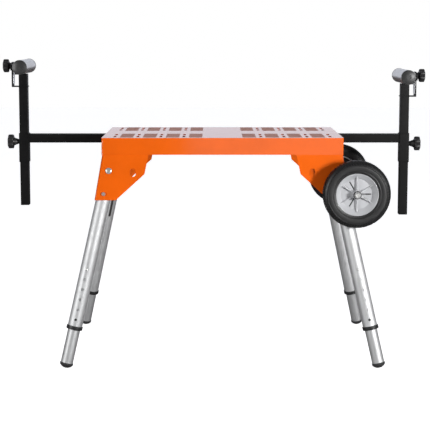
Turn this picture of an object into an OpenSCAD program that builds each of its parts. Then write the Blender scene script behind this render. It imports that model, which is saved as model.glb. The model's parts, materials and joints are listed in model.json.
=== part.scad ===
// Folding workshop stand for a mitre saw: a slotted sheet-steel deck on four telescopic splayed legs,
// with a roller extension at each end and two transport wheels under the right end.
// Millimetres. X runs along the deck, -Y is the front, Z is up. The feet stand on Z = 0.
// Four legs, two extensions and two wheels are mirrored copies of one leg, one extension and one wheel.

/* [Deck] */
// Length of the deck, end to end
deck_w = 900; // [860:5:940]
// Depth of the deck, front to back
deck_d = 480; // [460:5:520]
// Height of the deck's top above the floor
deck_h = 850; // [820:5:900]
// Height of the folded rim round the deck
band_h = 63; // [60:1:75]
// Sheet thickness of the deck
sheet_t = 2; // [1.5:0.5:2.5]
// Distance between neighbouring slot columns
slot_pitch = 86.5; // [80:0.5:88]
// Distance from a deck end to its first slot column
slot_inset = 46; // [40:1:50]
// Width of a slot
slot_w = 11; // [8:0.5:13]
// Length of a slot, end to end
slot_l = 48; // [35:1:50]
// Distance of the outer slots from the middle of the deck
slot_y_outer = 183; // [175:1:190]
// Distance of the inner slots from the middle of the deck
slot_y_inner = 105; // [95:1:115]
// Width of an anti-slip pad
pad_w = 50; // [40:1:54]
// Length of an anti-slip pad
pad_l = 160; // [120:1:165]
// Distance of a pad's middle from the middle of the deck
pad_y = 143; // [130:1:148]
// Thickness of a pad, which lies flush in the deck
pad_t = 0.8; // [0.5:0.1:1]

/* [Leg brackets] */
// Outward lean of the brackets and legs, in degrees
lean = 8.4; // [7:0.1:9]
// Sheet thickness of the brackets
plate_t = 3; // [2.5:0.5:3]
// Depth of the flange along a bracket's outer edge
flange_d = 8; // [6:1:8]
// Distance of a leg pivot from the deck's middle
pivot_x = 423; // [415:1:425]
// Distance of a leg pivot below the rim, along the lean
pivot_drop = 60; // [55:1:62]
// Distance of the fold lock from the pivot
lock_r = 88; // [80:1:92]

/* [Legs] */
// Outward splay of the legs, in degrees
splay = 12.35; // [11:0.05:13]
// Outer diameter of the upper leg tube
tube_d = 54; // [50:1:54]
// Outer diameter of the inner leg tube
inner_d = 46; // [42:1:46]
// Wall thickness of the leg tubes
wall = 2; // [1.5:0.5:2]
// Length of the upper tube below the pivot
tube_l = 588; // [570:1:600]
// Number of height holes
hole_n = 6; // [3:1:6]
// Distance between height holes
hole_pitch = 38; // [30:1:38]
// Diameter of a height hole
hole_d = 9.5; // [8:0.5:10]
// Diameter of the rubber foot
foot_d = 49; // [47:1:52]

/* [Extensions] */
// Side of the square extension bar
bar_s = 34; // [30:1:36]
// Side of the square post
post_s = 33; // [30:1:36]
// Length of a post
post_l = 512; // [440:1:530]
// Distance of the left post from the deck's middle
post_x_left = 774; // [740:1:780]
// Distance of the right post from the deck's middle
post_x_right = 712; // [700:1:780]
// Height of the left post's top above the floor
post_top_left = 1076; // [1040:1:1090]
// Height of the right post's top above the floor
post_top_right = 1038; // [1010:1:1090]
// Height of a sleeve
sleeve_h = 114; // [100:1:120]
// Diameter of a roller
roller_d = 55; // [50:1:56]
// Length of a roller over its end caps
roller_l = 240; // [200:1:260]
// Diameter of the star knobs on the sleeves
knob_d = 55; // [45:1:56]

/* [Wheels] */
// Diameter of a wheel
wheel_d = 250; // [220:1:252]
// Width of a tyre
tyre_w = 54; // [50:1:54]
// Distance of the axle from the deck's middle
axle_x = 492; // [490:1:496]
// Height of the axle above the floor
axle_z = 649; // [640:1:655]
// Distance of a wheel's middle from the deck's middle
wheel_y = 305; // [304:1:310]

/* [Hidden] */
$fn = 48;
SIDES = ["left", "right"];
ENDS = ["front", "rear"];
CORNERS = [for (e = ENDS) for (s = SIDES) str(e, "_", s)];
FIXED = ["deck_panel", "grip_pads", "guide_tube", "wheel_brackets", "axle", "axle_nuts", "pivot_bolts",
         "pivot_nuts"];
LEG = ["bracket", "lock_pin", "leg_tube", "snap_button", "leg_collar", "leg_inner", "foot"];
EXTENSION = ["bar_lock_knob", "extension_bar", "sleeve_knob", "post", "roller_head", "roller_axle",
             "roller_tube", "roller_caps", "stop_plate", "stop_knob"];
WHEEL = ["rim", "tyre"];
NODES = concat(FIXED, [for (p = LEG) for (c = CORNERS) str(p, "_", c)],
               [for (p = EXTENSION) for (s = SIDES) str(p, "_", s)],
               [for (p = WHEEL) for (e = ENDS) str(p, "_", e)]);
node = "all";

eps = 1;                 // how far a cut runs past the face it opens
fit = 0.05;              // radial clearance of a running fit
gap = 0.3;               // clearance between faces that slide past each other
corner_r = 5;            // outer radius of the deck's corners
columns = 4;             // slot columns in each half of the deck
band_z = deck_h - band_h;
under_z = deck_h - sheet_t;
orange = "darkorange";

// Leg frame: the leg's axis lies leg_y behind the outer face of its bracket plate
tube_r = tube_d / 2;
leg_gap = 1;
leg_y = plate_t + leg_gap + tube_r;
pivot_z = band_z - leg_y * sin(lean) - pivot_drop * cos(lean);
foot_r = 30;             // radius of the domed underside of a foot
foot_s = (pivot_z - foot_r) / (cos(lean) * cos(splay));
foot_h = 20;
foot_top = foot_s + foot_r - foot_h;
foot_cuff = 8;
foot_plug = 30;
tube_top = 14;
hole_margin = 24;        // from the tube's lower end to the lowest height hole
hole_first = tube_l - hole_margin;
button_s = hole_first - (hole_n - 1) * hole_pitch;
inner_lap = 45;          // how far the inner tube reaches past its snap button
inner_top = button_s - inner_lap;
bolt_r = 6;
nut_h = 8;
pin_r = 4;
pin_nose = 3.5;
collar_lip = 14;
collar_edge = 3;
collar_play = 0.1;
collar_plug = 40;

// Bracket outline, as distances from the deck's middle and down the lean
bracket_top_out = deck_w / 2 - sheet_t;
bracket_low_z = 620;     // height of the lower edge above the floor
bracket_bottom = (band_z - bracket_low_z) / cos(lean);
bracket_low_out = 476;
bend_r = 6;
bracket_low_in = 396;
bracket_neck = [290, 72];
bracket_shoulder = [281, 28];
bracket_top_in = 274;
notch_out = deck_w / 2 - corner_r - 2;
tab_out = notch_out - 2;
transit_x = 90;          // from the pivot to the oblong hole that holds the folded leg
transit_z = -6;
transit_w = 21;
transit_h = 31;
cheek_r = 24;
cheek_top = 69;
web_z = 12;              // the web between plate and cheek, above the bend

// Extension bars run in one guide tube, flush with the deck's ends
guide_wall = 3;
guide_s = bar_s + 2 * gap + 2 * guide_wall;
bar_z = under_z - guide_s / 2;
bar_inner_end = 300;
sleeve_wall = 2.2;
sleeve_s = post_s + 2 * gap + 2 * sleeve_wall;
sleeve_top = 848;
boss_h = 4;
boss_r = 9;
stud_r = 4;
knob_head = 22;
knob_hub = 18;
lock_knob_x = 400;
lock_knob_d = 40;
lock_knob_hub = 8;
lock_knob_head = 16;

// Roller head, measured from the post's axis and top
roller_z = 31;
roller_x = 4;
head_t = 3;
ear_r = 11;
ear_y = roller_l / 2 - 8;
yoke_x = -31;
yoke_half_h = 12;
arm_out = 43;
arm_t = 4;
arm_half_w = 20;
arm_base = -48;
arm_top = 49;
stop_hole_z = roller_z + 3;
stop_travel = 50;
stop_t = 2;
stop_knob_d = 51;
stop_knob_hub = 12;
roller_axle_r = 5;
roller_end_t = 3;
cap_r = roller_d / 2 + 0.5;

// The model is centred on its own length, so the deck sits off centre
reach_left = post_x_left + arm_out + stop_knob_hub + knob_head;
reach_right = post_x_right + arm_out + stop_knob_hub + knob_head;
deck_x = (reach_left - reach_right) / 2;

// Wheels
axle_r = 8;
axle_end = 334;
rim_r = 78;
hub_r = 17;
wheel_bracket_y = 150;
wheel_bracket_t = 4;

function is_right(name) = name == "right" || name == "front_right" || name == "rear_right";
function is_rear(name) = name == "rear" || name == "rear_left" || name == "rear_right";
function post_x(side) = side == "left" ? post_x_left : post_x_right;
function post_top(side) = side == "left" ? post_top_left : post_top_right;
function sleeve_knob_z(side) = side == "left" ? 814 : 806;

// ---- Placement -------------------------------------------------------------

// Children are drawn for the front left and mirrored to the named corner, end or side
module placed(name) {
    translate([deck_x, 0, 0])
        mirror([is_right(name) ? 1 : 0, 0, 0])
            mirror([0, is_rear(name) ? 1 : 0, 0])
                children();
}

// Frame of a leaning bracket: its outer face is Y = 0, and Z = 0 is the bend at the deck's rim
module lean_frame() {
    translate([0, -(deck_d / 2 - sheet_t), band_z])
        rotate([-lean, 0, 0])
            children();
}

// Frame of a leg: the pivot is the origin, and the leg runs down -Z
module leg_frame() {
    lean_frame()
        translate([-pivot_x, leg_y, -pivot_drop])
            rotate([0, splay, 0])
                children();
}

// Frame of a post: its axis is Z, and its top is Z = 0
module post_frame(side) {
    placed(side)
        translate([-post_x(side), 0, post_top(side)])
            children();
}

// ---- Shared shapes ---------------------------------------------------------

module tube(r, t, h) {
    difference() {
        cylinder(r = r, h = h, $fn = 96);
        translate([0, 0, -eps])
            cylinder(r = r - t, h = h + 2 * eps, $fn = 96);
    }
}

module square_tube(s, t, h) {
    linear_extrude(h)
        difference() {
            square(s, center = true);
            square(s - 2 * t, center = true);
        }
}

// A slot with round ends, along Y, cut through a sheet whose underside is Z = 0
module slot_cut(w, l, t) {
    translate([-w / 2, -(l - w) / 2, -eps])
        cube([w, l - w, t + 2 * eps]);
    for (y = [-1, 1])
        translate([0, y * (l - w) / 2, -eps])
            cylinder(d = w, h = t + 2 * eps);
}

// Star knob on +Z with its stud on -Z: hub against Z = 0, lobed head above it
module star_knob(d, hub_h, head_h, stud_l, lobes = 6) {
    lobe_r = d * 0.15;
    color("dimgray") {
        translate([0, 0, -stud_l])
            cylinder(r = stud_r, h = stud_l + 2);
        cylinder(r1 = d * 0.17, r2 = d * 0.3, h = hub_h);
        translate([0, 0, hub_h])
            linear_extrude(head_h) {
                circle(r = d * 0.38);
                for (i = [0:lobes - 1])
                    rotate(i * 360 / lobes)
                        translate([d / 2 - lobe_r, 0])
                            circle(r = lobe_r);
            }
    }
}

// ---- Deck ------------------------------------------------------------------

// Every slot column and pad column, for the left half; the right half mirrors it
module each_column() {
    for (i = [0:columns - 1])
        for (m = [0, 1])
            translate([deck_x, 0, 0])
                mirror([m, 0, 0])
                    translate([-deck_w / 2 + slot_inset + i * slot_pitch, 0, 0])
                        children();
}

module deck_outline(inset) {
    r = corner_r - inset;
    square([deck_w - 2 * inset - 2 * r, deck_d - 2 * inset], center = true);
    square([deck_w - 2 * inset, deck_d - 2 * inset - 2 * r], center = true);
    for (x = [-1, 1])
        for (y = [-1, 1])
            translate([x * (deck_w / 2 - inset - r), y * (deck_d / 2 - inset - r)])
                circle(r = r);
}

module deck_panel() {
    color(orange)
        difference() {
            translate([deck_x, 0, band_z])
                linear_extrude(band_h)
                    deck_outline(0);
            translate([deck_x, 0, band_z - eps])
                linear_extrude(band_h - sheet_t + eps)
                    deck_outline(sheet_t);
            each_column()
                for (y = [-slot_y_outer, -slot_y_inner, slot_y_inner, slot_y_outer])
                    translate([0, y, under_z])
                        slot_cut(slot_w, slot_l, sheet_t);
            pads(pad_t + eps);
            translate([deck_x - deck_w / 2 - eps, -guide_s / 2, bar_z - guide_s / 2])
                cube([deck_w + 2 * eps, guide_s, guide_s]);
        }
}

// The anti-slip pads, or with more height the recesses that they lie in
module pads(h) {
    pad_shift = 1;
    for (y = [-pad_y, pad_y])
        each_column()
            translate([(slot_pitch - pad_w) / 2 + pad_shift, y - pad_l / 2, deck_h - pad_t])
                cube([pad_w, pad_l, h]);
}

module grip_pads() {
    color("tomato")
        pads(pad_t);
}

module guide_tube() {
    color("gray")
        difference() {
            translate([deck_x - deck_w / 2, 0, bar_z])
                rotate([0, 90, 0])
                    square_tube(guide_s, guide_wall, deck_w);
            for (side = SIDES)
                placed(side)
                    translate([-lock_knob_x, 0, bar_z - guide_s / 2 - eps])
                        cylinder(r = stud_r + fit, h = guide_wall + 2 * eps);
        }
}

module bar_lock_knob(side) {
    placed(side)
        translate([-lock_knob_x, 0, bar_z - guide_s / 2 - gap])
            rotate([180, 0, 0])
                star_knob(lock_knob_d, lock_knob_hub, lock_knob_head, guide_wall + gap);
}

// ---- Leg brackets ----------------------------------------------------------

module bracket_outline() {
    polygon([[-notch_out, 1], [-notch_out, 0], [-bracket_top_out, 0], [-bracket_low_out, -bracket_bottom],
             [-bracket_low_in, -bracket_bottom], [-bracket_neck[0], -bracket_neck[1]],
             [-bracket_shoulder[0], -bracket_shoulder[1]], [-bracket_top_in, 1]]);
}

// A flat plate in the lean frame, from y = 0 backward, from an outline in X and Z
module upright(t) {
    translate([0, t, 0])
        rotate([90, 0, 0])
            linear_extrude(t)
                children();
}

module cheek_outline() {
    translate([-pivot_x, -pivot_drop])
        circle(r = cheek_r);
    translate([-pivot_x - cheek_r, -pivot_drop])
        square([2 * cheek_r, pivot_drop + cheek_top]);
}

module bracket(corner) {
    edge_tilt = atan((bracket_low_out - bracket_top_out) / bracket_bottom);
    edge_l = bracket_bottom / cos(edge_tilt);
    flange_top = 5;
    web_half = cheek_r - 6;
    web_lap = 0.5;
    cheek_y = leg_y + tube_r + leg_gap;
    color(orange)
        placed(corner) {
            difference() {
                union() {
                    lean_frame()
                        upright(plate_t)
                            bracket_outline();
                    // flange folded back along the outer edge
                    lean_frame()
                        translate([-bracket_top_out, 0, 0])
                            rotate([0, edge_tilt, 0])
                                translate([0, 0, -edge_l])
                                    cube([plate_t, plate_t + flange_d, edge_l - flange_top]);
                    // upright tab against the inside of the deck's rim
                    translate([-tab_out, -(deck_d / 2 - sheet_t), band_z])
                        cube([tab_out - bracket_top_in, plate_t, band_h - sheet_t]);
                    // inner cheek and the web that joins it to the plate
                    lean_frame()
                        translate([0, cheek_y, 0])
                            upright(plate_t)
                                cheek_outline();
                    lean_frame()
                        translate([-pivot_x - web_half, -web_lap, web_z])
                            cube([2 * web_half, cheek_y + 2 * web_lap, plate_t]);
                }
                // rounded bend between plate and flange
                lean_frame()
                    translate([-bracket_top_out, 0, 0])
                        rotate([0, edge_tilt, 0])
                            translate([0, 0, -edge_l - eps])
                                linear_extrude(edge_l + eps - flange_top)
                                    difference() {
                                        translate([-eps, -eps])
                                            square(bend_r + eps);
                                        translate([bend_r, bend_r])
                                            circle(r = bend_r);
                                    }
                leg_frame()
                    rotate([90, 0, 0])
                        cylinder(r = bolt_r, h = 4 * tube_r, center = true);
                leg_frame()
                    translate([0, -tube_r, -lock_r])
                        rotate([90, 0, 0])
                            cylinder(r = pin_r + fit, h = plate_t * 4, center = true);
                lean_frame()
                    translate([-pivot_x + transit_x, 0, -pivot_drop + transit_z])
                        rotate([-90, 0, 0])
                            slot_cut(transit_w, transit_h, plate_t);
            }
        }
}

module pivot_bolts() {
    head_r = 11.5;
    head_tip_r = 7;
    head_h = 3;
    color("silver")
        for (corner = CORNERS)
            placed(corner)
                leg_frame()
                    rotate([90, 0, 0]) {
                        translate([0, 0, -leg_y - nut_h])
                            cylinder(r = bolt_r, h = 2 * leg_y + nut_h);
                        translate([0, 0, leg_y])
                            cylinder(r = head_r, h = head_h);
                        translate([0, 0, leg_y + head_h])
                            cylinder(r1 = head_r, r2 = head_tip_r, h = head_h);
                    }
}

module pivot_nuts() {
    nut_r = 10.5;
    color("silver")
        for (corner = CORNERS)
            placed(corner)
                leg_frame()
                    rotate([90, 0, 0])
                        translate([0, 0, -leg_y - nut_h])
                            difference() {
                                cylinder(r = nut_r, h = nut_h, $fn = 6);
                                translate([0, 0, -eps])
                                    cylinder(r = bolt_r, h = nut_h + 2 * eps);
                            }
}

module lock_pin(corner) {
    head_r = 7.5;
    head_tip_r = 4.5;
    head_h = 4;
    color("silver")
        placed(corner)
            leg_frame()
                translate([0, -tube_r - leg_gap, -lock_r])
                    rotate([90, 0, 0]) {
                        translate([0, 0, -pin_nose])
                            cylinder(r = pin_r, h = pin_nose + plate_t + 2);
                        translate([0, 0, plate_t + gap])
                            cylinder(r = head_r, h = head_h);
                        translate([0, 0, plate_t + gap + head_h])
                            cylinder(r1 = head_r, r2 = head_tip_r, h = head_h);
                    }
}

// ---- Legs ------------------------------------------------------------------

module leg_tube(corner) {
    slot_low = 247;
    slot_high = 120;
    slot_turn = 24;
    leg_slot_w = 10;
    leg_slot_depth = 6;
    notch_r = pin_r + 0.6;
    notch_depth = wall + 1;
    color("lightgray")
        placed(corner)
            leg_frame()
                difference() {
                    translate([0, 0, -tube_l])
                        tube(tube_r, wall, tube_l + tube_top);
                    rotate([90, 0, 0])
                        cylinder(r = bolt_r + fit, h = 4 * tube_r, center = true);
                    // open notch that rests on the lock pin and swings clear of it
                    translate([0, -tube_r + notch_depth, -lock_r])
                        rotate([90, 0, 0])
                            cylinder(r = notch_r, h = 2 * wall);
                    translate([-tube_r, -tube_r - eps, -lock_r - notch_r])
                        cube([tube_r, notch_depth + eps, 2 * notch_r + 1]);
                    for (i = [0:hole_n - 1])
                        translate([0, 0, -hole_first + i * hole_pitch])
                            rotate([90, 0, 0])
                                cylinder(d = hole_d, h = 2 * tube_r);
                    // long slot on the inward side
                    rotate(-slot_turn)
                        translate([0, 0, -slot_low]) {
                            translate([0, tube_r + eps, (slot_low - slot_high) / 2])
                                rotate([90, 0, 0])
                                    slot_cut(leg_slot_w, slot_low - slot_high, leg_slot_depth);
                        }
                }
}

module snap_button(corner) {
    button_h = 7;
    dome_r = 8;
    color("silver")
        placed(corner)
            leg_frame()
                translate([0, -inner_d / 2 - gap, -button_s])
                    rotate([90, 0, 0])
                        intersection() {
                            cylinder(r = hole_d / 2 - fit, h = button_h);
                            translate([0, 0, button_h - dome_r])
                                sphere(r = dome_r);
                        }
}

module leg_collar(corner) {
    color("black")
        placed(corner)
            leg_frame()
                translate([0, 0, -tube_l])
                    difference() {
                        union() {
                            translate([0, 0, -collar_lip])
                                cylinder(r = tube_r + collar_edge, h = collar_lip, $fn = 96);
                            cylinder(r = tube_r - wall, h = collar_plug, $fn = 96);
                        }
                        translate([0, 0, -collar_lip - eps])
                            cylinder(r = inner_d / 2 + collar_play, h = collar_lip + collar_plug + 2 * eps,
                                     $fn = 96);
                        // room for the lowest height holes
                        translate([0, 0, tube_l - hole_first])
                            rotate([90, 0, 0])
                                cylinder(d = hole_d, h = 2 * tube_r);
                    }
}

module leg_inner(corner) {
    guide_ring_h = 10;
    color("gainsboro")
        placed(corner)
            leg_frame()
                difference() {
                    union() {
                        translate([0, 0, -foot_top])
                            tube(inner_d / 2, wall, foot_top - inner_top);
                        // guide ring at the upper end
                        translate([0, 0, -inner_top - guide_ring_h])
                            tube(tube_r - wall - gap, wall, guide_ring_h);
                    }
                    // groove in the guide ring that lets it pass the snap button
                    translate([-hole_d / 2 - 1, -tube_r, -inner_top - guide_ring_h - eps])
                        cube([hole_d + 2, tube_r - inner_d / 2, guide_ring_h + 2 * eps]);
                    translate([0, 0, -button_s])
                        rotate([90, 0, 0])
                            cylinder(d = hole_d + 1, h = 2 * tube_r);
                }
}

module foot(corner) {
    color("black")
        placed(corner)
            leg_frame() {
                intersection() {
                    translate([0, 0, -foot_s - foot_r - eps])
                        cylinder(d = foot_d, h = foot_s + foot_r + eps - foot_top, $fn = 96);
                    translate([0, 0, -foot_s])
                        sphere(r = foot_r, $fn = 96);
                }
                translate([0, 0, -foot_top - foot_cuff])
                    cylinder(d = foot_d, h = foot_cuff, $fn = 96);
                translate([0, 0, -foot_top])
                    cylinder(r = inner_d / 2 - wall, h = foot_plug, $fn = 96);
            }
}

// ---- Extensions ------------------------------------------------------------

module extension_bar(side) {
    sleeve_in = post_x(side) - sleeve_s / 2;
    color("dimgray")
        placed(side)
            difference() {
                union() {
                    translate([-sleeve_in, 0, bar_z])
                        rotate([0, 90, 0])
                            square_tube(bar_s, wall, sleeve_in - bar_inner_end);
                    translate([-post_x(side), 0, sleeve_top - sleeve_h])
                        square_tube(sleeve_s, sleeve_wall, sleeve_h);
                    translate([-post_x(side) - sleeve_s / 2 - boss_h, 0, sleeve_knob_z(side)])
                        rotate([0, 90, 0])
                            cylinder(r = boss_r, h = boss_h + 1);
                }
                translate([-post_x(side) - sleeve_s / 2 - boss_h - eps, 0, sleeve_knob_z(side)])
                    rotate([0, 90, 0])
                        cylinder(r = stud_r + fit, h = boss_h + sleeve_wall + 2 * eps);
            }
}

module sleeve_knob(side) {
    placed(side)
        translate([-post_x(side) - sleeve_s / 2 - boss_h - gap, 0, sleeve_knob_z(side)])
            rotate([0, -90, 0])
                star_knob(knob_d, knob_hub, knob_head, boss_h + sleeve_wall + gap);
}

module post(side) {
    color("dimgray")
        post_frame(side)
            translate([0, 0, -post_l])
                square_tube(post_s, wall, post_l);
}

// A block that stands on the post's top plane, centred on Y
module bar_on_post(x0, x1, half_w, z0, z1) {
    translate([x0, -half_w, z0])
        cube([x1 - x0, 2 * half_w, z1 - z0]);
}

module roller_head(side) {
    color("dimgray")
        post_frame(side)
            difference() {
                union() {
                    // saddle on the post, tongue and back rail of the roller's yoke
                    bar_on_post(yoke_x, post_s / 2, post_s / 2, 0, head_t);
                    bar_on_post(yoke_x, yoke_x + head_t, post_s / 2, 0, roller_z);
                    bar_on_post(yoke_x, yoke_x + head_t, ear_y, roller_z - yoke_half_h,
                                roller_z + yoke_half_h);
                    for (y = [-ear_y + head_t, ear_y])
                        translate([0, y, roller_z])
                            rotate([90, 0, 0]) {
                                translate([yoke_x, -ear_r, 0])
                                    cube([roller_x - yoke_x, 2 * ear_r, head_t]);
                                translate([roller_x, 0, 0])
                                    cylinder(r = ear_r, h = head_t);
                            }
                    // arm of the work stop, welded on the outer side of the post
                    difference() {
                        bar_on_post(-arm_out, post_s / 2 + 2, arm_half_w, arm_base, arm_base + arm_t);
                        bar_on_post(-post_s / 2, post_s / 2, post_s / 2, arm_base - eps,
                                    arm_base + arm_t + eps);
                    }
                    bar_on_post(-arm_out, -arm_out + arm_t, arm_half_w, arm_base, arm_top);
                }
                translate([roller_x, 0, roller_z])
                    rotate([90, 0, 0])
                        cylinder(r = roller_axle_r, h = 3 * ear_y, center = true);
                translate([-arm_out - eps, 0, stop_hole_z])
                    rotate([0, 90, 0])
                        cylinder(r = stud_r + fit, h = arm_t + 2 * eps);
            }
}

module roller_axle(side) {
    color("silver")
        post_frame(side)
            translate([roller_x, 0, roller_z])
                rotate([90, 0, 0])
                    cylinder(r = roller_axle_r, h = 2 * ear_y, center = true);
}

module roller_tube(side) {
    tube_half = ear_y - head_t - 0.5;
    color("silver")
        post_frame(side)
            translate([roller_x, 0, roller_z])
                rotate([90, 0, 0])
                    difference() {
                        cylinder(d = roller_d, h = 2 * tube_half, center = true, $fn = 96);
                        cylinder(d = roller_d - 2 * wall, h = 2 * (tube_half - roller_end_t), center = true,
                                 $fn = 96);
                        cylinder(r = roller_axle_r + fit, h = 2 * tube_half + 2 * eps, center = true);
                    }
}

// Dished cover outside each ear
module roller_caps(side) {
    rim_h = 4;
    dome_h = 4;
    dome_r = (cap_r * cap_r + dome_h * dome_h) / (2 * dome_h);
    color("black")
        post_frame(side)
            for (m = [0, 1])
                mirror([0, m, 0])
                    translate([roller_x, -ear_y, roller_z])
                        rotate([90, 0, 0])
                            intersection() {
                                cylinder(r = cap_r, h = rim_h + dome_h, $fn = 96);
                                translate([0, 0, rim_h + dome_h - dome_r])
                                    sphere(r = dome_r, $fn = 128);
                            }
}

module stop_plate(side) {
    plate_low = arm_base + arm_t + 8;
    plate_high = arm_top - 3;
    slot_top = stop_hole_z + stud_r + 1;
    slot_bottom = stop_hole_z - stop_travel - stud_r - 1;
    color("silver")
        post_frame(side)
            difference() {
                bar_on_post(-arm_out + arm_t + gap, -arm_out + arm_t + gap + stop_t, arm_half_w - 2,
                            plate_low, plate_high);
                translate([-arm_out + arm_t + gap, 0, (slot_top + slot_bottom) / 2])
                    rotate([90, 0, 90])
                        slot_cut(2 * stud_r + 1, slot_top - slot_bottom, stop_t);
            }
}

module stop_knob(side) {
    washer_at = arm_t + stop_t + 3 * gap;
    washer_t = 3;
    washer_r = 7;
    color("black")
        post_frame(side)
            translate([-arm_out - gap, 0, stop_hole_z])
                rotate([0, -90, 0]) {
                    star_knob(stop_knob_d, stop_knob_hub, knob_head - gap, washer_at);
                    translate([0, 0, -washer_at - washer_t])
                        cylinder(r = washer_r, h = washer_t);
                }
}

// ---- Wheels ----------------------------------------------------------------

module wheel_bracket_outline() {
    top_z = band_z + 58;
    inner_x = 380;
    outer_x = 446;
    eye_r = 20;
    polygon([[inner_x, top_z], [outer_x, top_z], [outer_x, band_z - 12], [outer_x + eye_r, band_z - 30],
             [axle_x + eye_r - 1, axle_z + 4], [axle_x - eye_r + 1, axle_z - 6], [434, band_z - 52],
             [inner_x, band_z]]);
    translate([axle_x, axle_z])
        circle(r = eye_r);
}

module wheel_brackets() {
    color("dimgray")
        for (m = [0, 1])
            mirror([0, m, 0])
                difference() {
                    translate([deck_x, -wheel_bracket_y, 0])
                        rotate([90, 0, 0])
                            linear_extrude(wheel_bracket_t)
                                wheel_bracket_outline();
                    translate([deck_x + axle_x, -wheel_bracket_y - wheel_bracket_t - eps, axle_z])
                        rotate([-90, 0, 0])
                            cylinder(r = axle_r, h = wheel_bracket_t + 2 * eps);
                }
}

module axle() {
    color("silver")
        translate([deck_x + axle_x, 0, axle_z])
            rotate([90, 0, 0])
                cylinder(r = axle_r, h = 2 * axle_end, center = true);
}

module axle_nuts() {
    end_r = 12;
    end_h = 5;
    collar_r = 14;
    collar_w = 8;
    collar_at = wheel_y - tyre_w / 2 - collar_w;
    color("silver")
        for (m = [0, 1])
            mirror([0, m, 0])
                translate([deck_x + axle_x, 0, axle_z])
                    rotate([90, 0, 0]) {
                        // domed end cap
                        translate([0, 0, axle_end])
                            cylinder(r = end_r, h = end_h);
                        translate([0, 0, axle_end + end_h])
                            cylinder(r1 = end_r, r2 = axle_r, h = end_h);
                        // inner collar
                        translate([0, 0, collar_at])
                            tube(collar_r, collar_r - axle_r, collar_w - gap);
                    }
}

// A wheel part, drawn round Z and set on the axle at the named end
module wheel_frame(end) {
    mirror([0, is_rear(end) ? 1 : 0, 0])
        translate([deck_x + axle_x, -wheel_y, axle_z])
            rotate([90, 0, 0])
                children();
}

module tyre(end) {
    shoulder_r = 22;
    crown = tyre_w / 2 - shoulder_r;
    color("darkslategray")
        wheel_frame(end)
            rotate_extrude($fn = 128) {
                translate([rim_r, -tyre_w / 2 + 3])
                    square([wheel_d / 2 - shoulder_r - rim_r, tyre_w - 6]);
                translate([rim_r + 8, -crown])
                    square([wheel_d / 2 - rim_r - 8, 2 * crown]);
                for (s = [-1, 1])
                    translate([wheel_d / 2 - shoulder_r, s * crown])
                        circle(r = shoulder_r);
            }
}

// Dished wheel centre: conical barrel, flat web with three narrow slots, six ribs and a hub
module rim(end) {
    rim_half = tyre_w / 2 - 3;
    lip = 4;
    web_t = 3;
    web_r = 57;
    rib_t = 3;
    rib_l = 46;
    rib_h = 11;
    slot_t = 4.5;
    color("silver")
        wheel_frame(end)
            difference() {
                union() {
                    rotate_extrude($fn = 96)
                        polygon([[0, -web_t], [web_r, -web_t], [rim_r - lip, -rim_half], [rim_r, -rim_half],
                                 [rim_r, rim_half], [rim_r - lip, rim_half], [web_r, 0], [0, 0]]);
                    translate([0, 0, -tyre_w / 2])
                        cylinder(r = hub_r, h = tyre_w);
                    for (i = [0:5])
                        rotate(30 + i * 60)
                            translate([hub_r - 3, -rib_t / 2, -1])
                                cube([rib_l, rib_t, rib_h]);
                }
                for (i = [0:2])
                    rotate(i * 120)
                        translate([hub_r + 2, -slot_t / 2, -web_t - eps])
                            cube([web_r - hub_r - 6, slot_t, web_t + 2 * eps]);
                translate([0, 0, -tyre_w])
                    cylinder(r = axle_r + fit, h = 2 * tyre_w);
            }
}

// ---- Nodes -----------------------------------------------------------------

function shown(name) = node == "all" || node == name;

if (shown("deck_panel")) deck_panel();
if (shown("grip_pads")) grip_pads();
if (shown("guide_tube")) guide_tube();
if (shown("wheel_brackets")) wheel_brackets();
if (shown("axle")) axle();
if (shown("axle_nuts")) axle_nuts();
if (shown("pivot_bolts")) pivot_bolts();
if (shown("pivot_nuts")) pivot_nuts();
for (c = CORNERS) {
    if (shown(str("bracket_", c))) bracket(c);
    if (shown(str("lock_pin_", c))) lock_pin(c);
    if (shown(str("leg_tube_", c))) leg_tube(c);
    if (shown(str("snap_button_", c))) snap_button(c);
    if (shown(str("leg_collar_", c))) leg_collar(c);
    if (shown(str("leg_inner_", c))) leg_inner(c);
    if (shown(str("foot_", c))) foot(c);
}
for (s = SIDES) {
    if (shown(str("bar_lock_knob_", s))) bar_lock_knob(s);
    if (shown(str("extension_bar_", s))) extension_bar(s);
    if (shown(str("sleeve_knob_", s))) sleeve_knob(s);
    if (shown(str("post_", s))) post(s);
    if (shown(str("roller_head_", s))) roller_head(s);
    if (shown(str("roller_axle_", s))) roller_axle(s);
    if (shown(str("roller_tube_", s))) roller_tube(s);
    if (shown(str("roller_caps_", s))) roller_caps(s);
    if (shown(str("stop_plate_", s))) stop_plate(s);
    if (shown(str("stop_knob_", s))) stop_knob(s);
}
for (e = ENDS) {
    if (shown(str("rim_", e))) rim(e);
    if (shown(str("tyre_", e))) tyre(e);
}
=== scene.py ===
import json
import math
import random

import bmesh
import bpy
from mathutils import Matrix, Vector


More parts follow.
